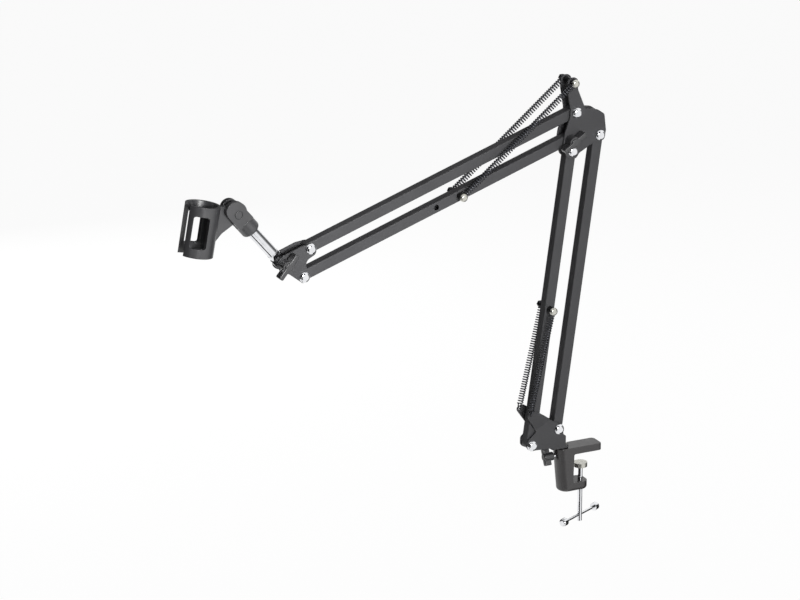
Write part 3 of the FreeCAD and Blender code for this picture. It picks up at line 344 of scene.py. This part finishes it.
class Workshop:
    """Holds the materials and puts finished meshes into the scene."""

    def __init__(self, finishes: Iterable[Finish]) -> None:
        """Makes the material of each finish.

        Args:
            finishes: Finishes that the object has.
        """
        self.materials = {finish.slot: finish.material() for finish in finishes}

    def dress(self, piece: bpy.types.Object, slot: Slot) -> None:
        """Gives a piece the finish of a slot.

        Args:
            piece: Object to dress.
            slot: Slot whose material it takes.
        """
        piece.data.materials.clear()
        piece.data.materials.append(self.materials[slot])

    def piece(
        self, name: str, points: np.ndarray, faces: list[list[int]], slot: Slot, crease_deg: float
    ) -> bpy.types.Object:
        """Makes a mesh object from a whole array of points and its faces.

        Args:
            name: Name of the piece.
            points: Points in metres, one row each.
            faces: Corner numbers of each face.
            slot: Slot whose finish it takes.
            crease_deg: Edges that turn by more than this stay sharp.

        Returns:
            The object, at the origin.
        """
        mesh = bpy.data.meshes.new(name)
        mesh.from_pydata(points.tolist(), [], faces)
        mesh.polygons.foreach_set("use_smooth", np.ones(len(mesh.polygons), bool))
        mesh.set_sharp_from_angle(angle=math.radians(crease_deg))
        mesh.update()
        made = bpy.data.objects.new(name, mesh)
        bpy.context.scene.collection.objects.link(made)
        self.dress(made, slot)
        return made


def wrapped_quads(rows: int, columns: int, close_rows: bool) -> np.ndarray:
    """Numbers the quads of a grid of points whose columns close into rings.

    Args:
        rows: Number of rings.
        columns: Points in each ring.
        close_rows: Whether the last ring joins the first.

    Returns:
        Corner numbers, four a row.
    """
    row = np.arange(rows if close_rows else rows - 1)[:, None]
    column = np.arange(columns)[None, :]
    after = (column + 1) % columns
    below = (row + 1) % rows
    here, there = row * columns, below * columns
    quads = np.stack((here + column, here + after, there + after, there + column), axis=-1)
    return quads.reshape(-1, 4)


def unit(vectors: np.ndarray) -> np.ndarray:
    """Scales vectors to length one along the last axis."""
    return vectors / np.linalg.norm(vectors, axis=-1, keepdims=True)


def rising_step(share: np.ndarray) -> np.ndarray:
    """Rises from 0 to 1, with no slope or bend at either end: 10 s^3 - 15 s^4 + 6 s^5."""
    return share**3 * (10 - 15 * share + 6 * share**2)


def falling_step(share: np.ndarray) -> np.ndarray:
    """Falls from 1 to 0, with no slope at either end: (1 - s)^2 (1 + 2 s)."""
    return (1 - share) ** 2 * (1 + 2 * share)


# The rounded end of a wire, in wire radii: how far each ring stands past the path's end, and its own radius.
TIP_REACH = np.array((0.2, 0.5, 0.85))
TIP_RADIUS = np.array((0.97, 0.84, 0.5))
# Direction that sets where a section starts. It only has to differ from the wire's main direction.
SECTION_START = (0.0, 1.0, 0.3)


def wire_along(
    path: np.ndarray, radius: float, sides: int, away: np.ndarray
) -> tuple[np.ndarray, list[list[int]]]:
    """Carries a round wire section along a path and closes both ends with a small dome.

    Each section is the first one turned by the least rotation that takes the direction away onto the path's own
    direction, so the sections never spin against each other. The path never runs against that direction.

    Args:
        path: Points of the centreline in metres.
        radius: Radius of the wire in metres.
        sides: Points round a section.
        away: Direction that the path never runs against.

    Returns:
        The points and the faces of the wire.
    """
    along = unit(np.gradient(path, axis=0))
    reach = TIP_REACH * radius
    tip_rings = len(reach)
    start = path[0] - along[0] * reach[::-1, None]
    finish = path[-1] + along[-1] * reach[:, None]
    line = np.concatenate((start, path, finish))
    heading = np.concatenate((np.repeat(along[:1], tip_rings, 0), along, np.repeat(along[-1:], tip_rings, 0)))
    width = np.concatenate((TIP_RADIUS[::-1], np.ones(len(path)), TIP_RADIUS)) * radius
    first = unit(np.cross(away, SECTION_START))
    second = np.cross(away, first)
    lean = (heading + away) / (1 + heading @ away)[:, None]
    across = first - (heading @ first)[:, None] * lean
    upward = second - (heading @ second)[:, None] * lean
    turn = np.linspace(0, 2 * np.pi, sides, endpoint=False)
    ring = np.cos(turn)[None, :, None] * across[:, None, :] + np.sin(turn)[None, :, None] * upward[:, None, :]
    rings = line[:, None, :] + ring * width[:, None, None]
    poles = np.stack((path[0] - along[0] * radius, path[-1] + along[-1] * radius))
    points = np.concatenate((rings.reshape(-1, 3), poles))
    column = np.arange(sides)
    after = (column + 1) % sides
    last = (len(line) - 1) * sides
    pole = np.full(sides, len(line) * sides)
    first_cap = np.stack((pole, after, column), 1)
    last_cap = np.stack((pole + 1, last + column, last + after), 1)
    return points, wrapped_quads(len(line), sides, False).tolist() + first_cap.tolist() + last_cap.tolist()


@dataclass
class TensionSpring:
    """A closely wound tension spring with an eye at each end.

    Attributes:
        name: Name of the piece.
        node: Packed spring that it stands for.
        start: Centre of the pin or hole at its first end, in metres.
        end: Centre of the pin at its last end, in metres.
        side: Side of the arm that it is on.
        hooked: Whether its first eye is turned edge-on, to pass through a hole in a plate.
        turns: Turns of its coil.
        wire: Diameter of its wire in metres.
        coil_radius: Radius of the coil at the middle of the wire.
        eye_radius: Radius of an eye at the middle of the wire.
        hook_radius: Radius of a hooked eye.
        hook_drop: How far a hooked eye's far side lies past the hole's centre.
        leg: Length over which the wire goes from an eye into the coil, beyond the eye's radius.
        eye_quarters: How much of a circle an eye is, in quarters.
        eye_points: Points along an eye.
        turn_points: Points along a turn of the coil.
        rise_step: Length along the axis that adds one more point.
        samples: Steps in which the coil's angle is added up.
        sides: Points round the wire.
        crease_deg: Edges that turn by more than this stay sharp.
    """

    name: str
    node: str
    start: np.ndarray
    end: np.ndarray
    side: Side
    hooked: bool
    turns: int = 58
    wire: float = 1.75 * MM
    coil_radius: float = 2.8 * MM
    eye_radius: float = 3.3 * MM
    hook_radius: float = 3.2 * MM
    hook_drop: float = 0.6 * MM
    leg: float = 1.5 * MM
    eye_quarters: float = 2.75
    eye_points: int = 40
    turn_points: int = 22
    rise_step: float = 0.6 * MM
    samples: int = 4000
    sides: int = 8
    crease_deg: float = 60.0

    def centreline(self) -> tuple[np.ndarray, np.ndarray]:
        """Works out the wire's centreline: an eye, a leg, the coil, a leg and an eye.

        Between the eyes a point has a height along the spring's axis, a distance from the axis and an angle
        round it. The angle's rate rises from nothing at an eye to the full rate in the coil, as a smooth step
        over a leg, and the distance goes over from the eye's radius to the coil's in a like step.

        Returns:
            Points of the centreline in metres, and a direction that it never runs against.
        """
        run = unit(self.end - self.start)
        side = np.array((0.0, float(self.side.value), 0.0))
        flat = unit(np.cross((0.0, 1.0, 0.0), run))
        radius = self.hook_radius if self.hooked else self.eye_radius
        first_way = side if self.hooked else flat
        lift = np.cross(run, first_way)
        centre = self.start + run * (radius - self.hook_drop if self.hooked else 0.0)
        length = float(np.linalg.norm(self.end - centre))
        last_angle = math.atan2(float(flat @ lift), float(flat @ first_way)) % (2 * math.pi)
        height = np.linspace(0, length, self.samples)
        head, tail = radius + self.leg, self.eye_radius + self.leg
        up = np.clip(height / head, 0, 1)
        down = np.clip((length - height) / tail, 0, 1)
        rate = rising_step(up) * rising_step(down)
        swept = np.concatenate(([0.0], np.cumsum((rate[1:] + rate[:-1]) / 2)))
        angle = swept / swept[-1] * (2 * math.pi * self.turns + last_angle)
        away = self.coil_radius + (radius - self.coil_radius) * falling_step(up)
        away = away + (self.eye_radius - self.coil_radius) * falling_step(down)
        pace = angle / (2 * math.pi) * self.turn_points + height / self.rise_step
        even = np.linspace(0, pace[-1], int(pace[-1]))
        height, angle, away = (np.interp(even, pace, values) for values in (height, angle, away))
        coil = centre + np.outer(height, run)
        coil = coil + (np.cos(angle) * away)[:, None] * first_way + (np.sin(angle) * away)[:, None] * lift
        bow = np.linspace(-self.eye_quarters, 0, self.eye_points, endpoint=False)[:, None] * np.pi / 2
        eye = centre + first_way * (radius * np.cos(bow)) + run * (radius * np.sin(bow))
        bow = np.linspace(0, self.eye_quarters, self.eye_points + 1)[1:, None] * np.pi / 2
        last = self.end + flat * (self.eye_radius * np.cos(bow)) + run * (self.eye_radius * np.sin(bow))
        return np.concatenate((eye, coil, last)), unit(run + lift)

    def build(self, shop: Workshop) -> bpy.types.Object:
        """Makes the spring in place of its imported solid.

        Args:
            shop: Workshop that holds the materials.

        Returns:
            The spring.
        """
        path, away = self.centreline()
        points, faces = wire_along(path, self.wire / 2, self.sides, away)
        made = shop.piece(self.name, points, faces, Slot.SPRING_STEEL, self.crease_deg)
        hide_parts(self.node)
        return made


def points_of(piece: bpy.types.Object) -> np.ndarray:
    """Reads the points of a piece's mesh as rows."""
    flat = np.empty(len(piece.data.vertices) * 3, np.float32)
    piece.data.vertices.foreach_get("co", flat)
    return flat.reshape(-1, 3).astype(float)


def node_middle(node: str) -> np.ndarray:
    """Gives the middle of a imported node's box in metres."""
    low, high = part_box(node)
    return (np.array(low) + np.array(high)) / 2


@dataclass
class SpringSet:
    """The two lower and two upper springs.

    Attributes:
        offset: Distance of a spring from the middle of the arm in metres.
        base_pivot: Pivot that the lower arm swings on.
        elbow_pivot: Pin that the upper springs turn on.
        lug_from_pivot: Hole of a base lug, from the base pivot.
        lower_turns: Turns of a lower spring.
        lower_wire: Wire diameter of a lower spring.
        swing_reach_mm: Distances from the base pivot for which swing_share is given; not used.
        swing_share: Share of the lower arm's swing that a point at that distance follows; not used.
    """

    offset: float = 13.0 * MM
    base_pivot: np.ndarray = field(default_factory=lambda: JOINT_PLACE["lower_arm"])
    elbow_pivot: np.ndarray = field(default_factory=lambda: JOINT_PLACE["upper_spring_aim"])
    lug_from_pivot: tuple[float, float, float] = (-5.5 * MM, 0.0, 39.7 * MM)
    lower_turns: int = 40
    lower_wire: float = 1.5 * MM
    swing_reach_mm: tuple[float, ...] = (40.8, 60.0, 80.0, 100.0, 120.0, 157.0)
    swing_share: tuple[float, ...] = (0.0, 0.475, 0.69, 0.82, 0.9, 1.0)

    def lower(self, shop: Workshop) -> list[bpy.types.Object]:
        """Makes the springs of the lower arm, hooked in the base lugs and looped on the arm's cross pin.

        Args:
            shop: Workshop that holds the materials.

        Returns:
            The springs.
        """
        made = []
        pin = node_middle("lower_spring_pin")
        for side in Side:
            aside = np.array((0.0, side.value * self.offset, 0.0))
            start = self.base_pivot * (1, 0, 1) + np.array(self.lug_from_pivot) + aside
            end = pin * (1, 0, 1) + aside
            name = f"lower_spring_{side.name.lower()}"
            turns, wire = self.lower_turns, self.lower_wire
            spring = TensionSpring(f"{name}_wound", name, start, end, side, hooked=True, turns=turns, wire=wire)
            piece = spring.build(shop)
            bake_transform(piece)
            reach = np.linalg.norm((points_of(piece) - self.base_pivot)[:, (0, 2)], axis=1) / MM
            made.append(piece)
        return made

    def upper(self, shop: Workshop) -> list[bpy.types.Object]:
        """Makes the springs of the upper arm, looped on the elbow pin and on the arm's cross pin.

        Args:
            shop: Workshop that holds the materials.

        Returns:
            The springs.
        """
        made = []
        pin = node_middle("upper_spring_pin")
        for side in Side:
            aside = np.array((0.0, side.value * self.offset, 0.0))
            start = self.elbow_pivot * (1, 0, 1) + aside
            end = pin * (1, 0, 1) + aside
            name = f"upper_spring_{side.name.lower()}"
            spring = TensionSpring(f"{name}_wound", name, start, end, side, hooked=False)
            piece = spring.build(shop)
            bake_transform(piece)
            way = end - start
            length = float(np.linalg.norm(way))
            height = (points_of(piece) - start) @ (way / length)
            made.append(piece)
        return made


@dataclass
class LockNuts:
    """Hexagon lock nuts with a collar, on the far side of each pivot.

    Attributes:
        flats: Width across the flats in metres.
        bore: Diameter of the bore.
        body_share: Share of the nut's height that is hexagon; the collar is the rest.
        sides: Points round a nut.
        crease_deg: Edges that turn by more than this stay sharp.
    """

    flats: float = 8.0 * MM
    bore: float = 5.02 * MM
    body_share: float = 0.7
    sides: int = 96
    crease_deg: float = 25.0

    def rings(self, height: float) -> np.ndarray:
        """Works out one nut as a surface of two parameters: the angle and the place on the profile.

        The distance from the axis is the lesser of the hexagon's and the profile's at that height, which cuts
        the corners of the nut along a cone as a lathe does.

        Args:
            height: Height of the nut in metres.

        Returns:
            Points as rings, with the axis along Y and the seat at zero.
        """
        turn = np.linspace(0, 2 * np.pi, self.sides, endpoint=False)
        sector = (turn + np.pi / 6) % (np.pi / 3) - np.pi / 6
        hexagon = self.flats / 2 / np.cos(sector)
        body = height * self.body_share
        # Height and radius of each corner: seat, lower chamfer, flats, upper chamfer, collar, bore.
        profile = np.array(
            (
                (0.0, self.bore / 2),
                (0.0, 3.95 * MM),
                (0.12 * MM, 4.2 * MM),
                (0.3 * MM, 4.5 * MM),
                (0.5 * MM, 4.8 * MM),
                (body - 0.75 * MM, 4.8 * MM),
                (body - 0.5 * MM, 4.5 * MM),
                (body - 0.25 * MM, 4.15 * MM),
                (body, 3.75 * MM),
                (body + 0.02 * MM, 3.55 * MM),
                (height - 0.5 * MM, 3.5 * MM),
                (height - 0.15 * MM, 3.3 * MM),
                (height, 2.95 * MM),
                (height, self.bore / 2),
            )
        )
        away = np.minimum(hexagon[None, :], profile[:, 1:2])
        up = np.repeat(profile[:, :1], self.sides, axis=1)
        return np.stack((away * np.cos(turn), up, -away * np.sin(turn)), axis=-1)

    def build(self, shop: Workshop, node: str, body: str, pivots: Sequence[np.ndarray]) -> bpy.types.Object:
        """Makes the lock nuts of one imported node.

        Args:
            shop: Workshop that holds the materials.
            node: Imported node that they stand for.
            body: Body that carries them.
            pivots: Centres of the pivots in metres.

        Returns:
            The nuts as one piece.
        """
        low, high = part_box(node)
        rings = self.rings(float(high.y - low.y))
        seats = np.array([(pivot[0], float(low.y), pivot[2]) for pivot in pivots])
        points = seats[:, None, :] + rings.reshape(1, -1, 3)
        quads = wrapped_quads(rings.shape[0], self.sides, True)
        faces = quads[None] + np.arange(len(seats))[:, None, None] * rings.shape[0] * self.sides
        rows = faces.reshape(-1, 4).tolist()
        made = shop.piece(f"{node}_lock", points.reshape(-1, 3), rows, Slot.ZINC, self.crease_deg)
        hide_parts(node)
        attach(made, body)
        return made

    def build_all(self, shop: Workshop) -> list[bpy.types.Object]:
        """Makes the lock nuts of the base, the elbow and the head.

        The elbow's rear pivot and the head's upper pivot have no joint of their own. Each stands off the other
        pivot of its plate, or of its bar, as the opposite side of the same parallelogram does.

        Args:
            shop: Workshop that holds the materials.

        Returns:
            The nuts of each node.
        """
        base_front, base_rear = JOINT_PLACE["lower_arm"], JOINT_PLACE["lower_rear_pivot"]
        elbow_front, elbow_top = JOINT_PLACE["elbow_level"], JOINT_PLACE["upper_top_pivot"]
        elbow_low, head_low = JOINT_PLACE["upper_arm"], JOINT_PLACE["head_level"]
        return [
            self.build(shop, node, body, pivots)
            for node, body, pivots in (
                ("base_pivot_nuts", "base", (base_front, base_rear)),
                ("elbow_pivot_nuts", "elbow", (elbow_front, elbow_front + (base_rear - base_front), elbow_top)),
                ("head_pivot_nuts", "head", (head_low, elbow_top + (head_low - elbow_low))),
            )
        ]


@dataclass
class PackedPieces:
    """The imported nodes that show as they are, each with the finish of its record slot."""

    record: dict[str, Any]

    def slots(self) -> dict[str, Slot]:
        """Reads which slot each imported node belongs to.

        Returns:
            The slot of each node.
        """
        return {row["node"]: Slot(row["material_slot"]) for row in self.record["subparts"]}

    def dress(self, shop: Workshop) -> int:
        """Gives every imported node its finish.

        Args:
            shop: Workshop that holds the materials.

        Returns:
            How many nodes were dressed.
        """
        slots = self.slots()
        for name, node in frame["nodes"].items():
            shop.dress(node, slots[name])
        return len(frame["nodes"])


@dataclass(frozen=True)
class Card:
    """A dark or grey studio card that shows only in the reflections of the finishes.

    Attributes:
        name: Name of the card.
        tone: Its colour.
        first: Place of its first edge on the floor plan in metres, or a corner where it lies on the floor.
        last: Place of its other edge, or the opposite corner.
        top: Height of its upper edge; left out, it lies on the floor.
        foot: Height of its lower edge; left out, it stands on the floor.
    """

    name: str
    tone: str
    first: tuple[float, float]
    last: tuple[float, float]
    top: float | None = None
    foot: float | None = None

    def corners(self, floor: float) -> list[tuple[float, float, float]]:
        """Gives its four corners in order round it.

        Args:
            floor: Height just above the floor in metres.

        Returns:
            The corners in metres.
        """
        (left, near), (right, far) = self.first, self.last
        if self.top is None:
            return [(left, near, floor), (right, near, floor), (right, far, floor), (left, far, floor)]
        foot = floor if self.foot is None else self.foot
        return [(left, near, foot), (right, far, foot), (right, far, self.top), (left, near, self.top)]


CARDS = (
    Card("left_card", "#262626", first=(-1.9, -0.9), last=(-1.9, 2.2), top=1.6),
    Card("back_card", "#181818", first=(-1.9, 2.2), last=(1.02, 2.2), top=2.6),
    Card("front_card", "#161616", first=(-6.0, -2.5), last=(1.6, -5.2), top=6.5, foot=0.5),
    Card("low_front_card", "#1a1a1a", first=(-1.4, -0.85), last=(-0.2, -1.6), top=0.3),
    Card("right_card", "#9a9a9a", first=(1.9, -2.0), last=(2.5, -1.1), top=1.2),
    Card("far_right_card", "#1c1c1c", first=(2.5, -1.1), last=(2.7, -0.45), top=1.2),
    Card("side_card", "#808080", first=(2.7, -0.45), last=(2.4, 1.2), top=1.2),
    Card("low_card", "#161616", first=(-0.95, -0.47), last=(-0.5, -0.08)),
    Card("low_right_card", "#242424", first=(0.3, -0.8), last=(2.6, 1.2)),
)


@dataclass(frozen=True)
class Lamp:
    """A soft square lamp that faces a point.

    Attributes:
        name: Name of the lamp.
        azimuth_deg: Its direction round the point; zero is the near side, and left is negative.
        elevation_deg: Its direction above the point.
        level: How brightly it lights a surface that faces it.
        aim: The point in metres.
        spread_deg: Angle that its light is spread over.
        size: Its width in metres.
        distance: How far it is from the point in metres.
        reflected: Whether it shows in reflections.
    """

    name: str
    azimuth_deg: float
    elevation_deg: float
    level: float
    aim: tuple[float, float, float]
    spread_deg: float = 180.0
    size: float = 1.3
    distance: float = 3.4
    reflected: bool = True

    def light(self) -> bpy.types.AreaLight:
        """Makes the lamp's light.

        A surface at the point that faces the lamp gets the light that shows its colour as written when the
        level is one: the power is the level times the square of pi times the distance. A lamp with a narrow
        spread is brighter along its middle, by the tangent of half the spread over that tangent less half the
        spread.

        Returns:
            The light.
        """
        made = bpy.data.lights.new(self.name, "AREA")
        made.size = self.size
        made.energy = self.level * (math.pi * self.distance) ** 2
        if self.spread_deg < 180:
            half = math.radians(self.spread_deg) / 2
            made.spread = 2 * half
            made.energy *= (math.tan(half) - half) / math.tan(half)
        return made


ARM_MIDDLE = (-0.2311, 0.0, 0.2151)
LAMPS = (
    Lamp("key", -6.0, 12.0, level=1.4, aim=(-0.4, 0.0, 0.33), spread_deg=30.0),
    Lamp("head_light", 4.0, 12.0, level=0.6, aim=(-0.42, 0.0, 0.35), spread_deg=16.0, size=0.4),
    Lamp("rim", 108.0, 2.0, level=0.5, aim=ARM_MIDDLE, reflected=False),
    Lamp("back", 172.0, 2.0, level=0.5, aim=ARM_MIDDLE, reflected=False),
)


def direction(azimuth_deg: float, elevation_deg: float) -> Vector:
    """Turns an azimuth from the near side and an elevation to a unit vector."""
    turn, rise = math.radians(azimuth_deg), math.radians(elevation_deg)
    return Vector((math.sin(turn) * math.cos(rise), -math.cos(turn) * math.cos(rise), math.sin(rise)))


def aimed(data: bpy.types.ID, aim: Sequence[float], way: Vector, distance: float) -> bpy.types.Object:
    """Puts a camera or a light into the scene so that it stands off a point and faces it.

    Args:
        data: The camera's or the light's data, whose name it takes.
        aim: The point in metres.
        way: Direction from the point to it.
        distance: How far it is from the point in metres.

    Returns:
        The object.
    """
    made = bpy.data.objects.new(data.name, data)
    made.location = Vector(aim) + way * distance
    made.rotation_mode = "QUATERNION"
    made.rotation_quaternion = (-way).to_track_quat("-Z", "Y")
    bpy.context.scene.collection.objects.link(made)
    return made


def stage_flat(
    name: str, corners: Sequence[Sequence[float]]
) -> tuple[bpy.types.Object, bpy.types.NodeTree]:
    """Makes a flat piece of the stage with an empty material.

    Args:
        name: Name of the piece.
        corners: Its four corners in metres, in order round it.

    Returns:
        The piece, and the node tree of its material.
    """
    mesh = bpy.data.meshes.new(name)
    mesh.from_pydata(corners, [], [(0, 1, 2, 3)])
    made = bpy.data.objects.new(name, mesh)
    bpy.context.scene.collection.objects.link(made)
    paint = bpy.data.materials.new(f"{name}_paint")
    paint.use_nodes = True
    paint.node_tree.nodes.clear()
    mesh.materials.append(paint)
    return made, paint.node_tree


def seen(tree: bpy.types.NodeTree) -> bpy.types.NodeSocket:
    """Adds nodes that are one for rays from the camera and for reflected or refracted rays.

    Args:
        tree: Node tree that they go in.

    Returns:
        The socket with the result.
    """
    path = add_node(tree, "ShaderNodeLightPath")
    glossy = add_node(
        tree,
        "ShaderNodeMath",
        settings={"operation": "MAXIMUM"},
        links={0: path.outputs["Is Camera Ray"], 1: path.outputs["Is Glossy Ray"]},
    )
    both = add_node(
        tree,
        "ShaderNodeMath",
        settings={"operation": "MAXIMUM"},
        links={0: glossy.outputs[0], 1: path.outputs["Is Transmission Ray"]},
    )
    return both.outputs[0]


@dataclass
class Studio:
    """Pale floor, soft lights and the camera at the photograph's angle.

    Attributes:
        azimuth_deg: Camera's direction round the arm; zero is the near side, and left is negative.
        elevation_deg: Camera's direction above the arm.
        distance: Camera's distance from its target in metres.
        lens_mm: Focal length.
        sensor_mm: Width of the camera's sensor.
        sight: Farthest distance that the camera shows, in metres.
        target: Point that the camera looks at, in metres.
        floor_height: Height of the floor in metres.
        floor_size: Width of the floor.
        floor_tone: Colour of the floor where it takes the lamps' light.
        own_light: Share of the floor that shows as plain white instead.
        ambient: Level of the world's light on the object.
        card_lift: How far a card is above the floor.
    """

    azimuth_deg: float = -26.4
    elevation_deg: float = 18.5
    distance: float = 4.0
    lens_mm: float = 163.5
    sensor_mm: float = 36.0
    sight: float = 50.0
    target: tuple[float, float, float] = ARM_MIDDLE
    floor_height: float = -0.75
    floor_size: float = 16.0
    floor_tone: str = "#f4f4f4"
    own_light: float = 0.95
    ambient: float = 0.08
    card_lift: float = 0.01

    def camera(self) -> bpy.types.Object:
        """Makes the camera and makes it the scene's own.

        Returns:
            The camera.
        """
        data = bpy.data.cameras.new("camera")
        data.sensor_width = self.sensor_mm
        data.lens = self.lens_mm
        data.clip_end = self.sight
        made = aimed(data, self.target, direction(self.azimuth_deg, self.elevation_deg), self.distance)
        bpy.context.scene.camera = made
        return made

    def floor(self) -> bpy.types.Object:
        """Makes the floor, pale enough to be the background, which keeps the object's soft shadow.

        Returns:
            The floor.
        """
        half, height = self.floor_size / 2, self.floor_height
        corners = ((-half, -half, height), (half, -half, height), (half, half, height), (-half, half, height))
        made, tree = stage_flat("floor", corners)
        matt = add_node(tree, "ShaderNodeBsdfDiffuse", values={"Color": linear(self.floor_tone)})
        glow = add_node(tree, "ShaderNodeEmission", values={"Color": WHITE, "Strength": 1.0})
        share = add_node(
            tree,
            "ShaderNodeMath",
            settings={"operation": "MULTIPLY"},
            values={1: self.own_light},
            links={0: seen(tree)},
        )
        mixed = add_node(
            tree,
            "ShaderNodeMixShader",
            links={0: share.outputs[0], 1: matt.outputs[0], 2: glow.outputs[0]},
        )
        add_node(tree, "ShaderNodeOutputMaterial", links={"Surface": mixed.outputs[0]})
        return made

    def world(self) -> None:
        """Sets a white surround for what is seen and reflected, and a plain level for what it lights."""
        world = bpy.data.worlds.new("studio")
        world.use_nodes = True
        bpy.context.scene.world = world
        tree = world.node_tree
        tree.nodes.clear()
        level = add_node(
            tree,
            "ShaderNodeMapRange",
            values={"To Min": self.ambient, "To Max": 1.0},
            links={"Value": seen(tree)},
        )
        light = add_node(
            tree,
            "ShaderNodeBackground",
            values={"Color": WHITE},
            links={"Strength": level.outputs["Result"]},
        )
        add_node(tree, "ShaderNodeOutputWorld", links={"Surface": light.outputs[0]})

    def card(self, card: Card) -> bpy.types.Object:
        """Sets up a studio card.

        Args:
            card: Its colour and place.

        Returns:
            The card.
        """
        made, tree = stage_flat(card.name, card.corners(self.floor_height + self.card_lift))
        glow = add_node(tree, "ShaderNodeEmission", values={"Color": linear(card.tone), "Strength": 1.0})
        add_node(tree, "ShaderNodeOutputMaterial", links={"Surface": glow.outputs[0]})
        made.visible_camera = False
        made.visible_diffuse = False
        made.visible_shadow = False
        return made

    def build(self) -> None:
        """Sets up the whole studio."""
        bpy.context.scene.view_settings.view_transform = "Standard"
        self.camera()
        self.world()
        self.floor()
        for lamp in LAMPS:
            way = direction(lamp.azimuth_deg, lamp.elevation_deg)
            aimed(lamp.light(), lamp.aim, way, lamp.distance).visible_glossy = lamp.reflected
        for card in CARDS:
            self.card(card)


def main() -> None:
    """Builds the pieces in order and reports each one."""
    logging.basicConfig(level=logging.INFO, format="%(message)s")
    shop = Workshop(FINISHES)
    log.info("dressed %d packed nodes", PackedPieces(frame["record"]).dress(shop))
    springs = SpringSet()
    for piece in springs.lower(shop) + springs.upper(shop) + LockNuts().build_all(shop):
        log.info("%s: %d faces", piece.name, len(piece.data.polygons))
    Studio().build()


if __name__ == "__main__":
    main()
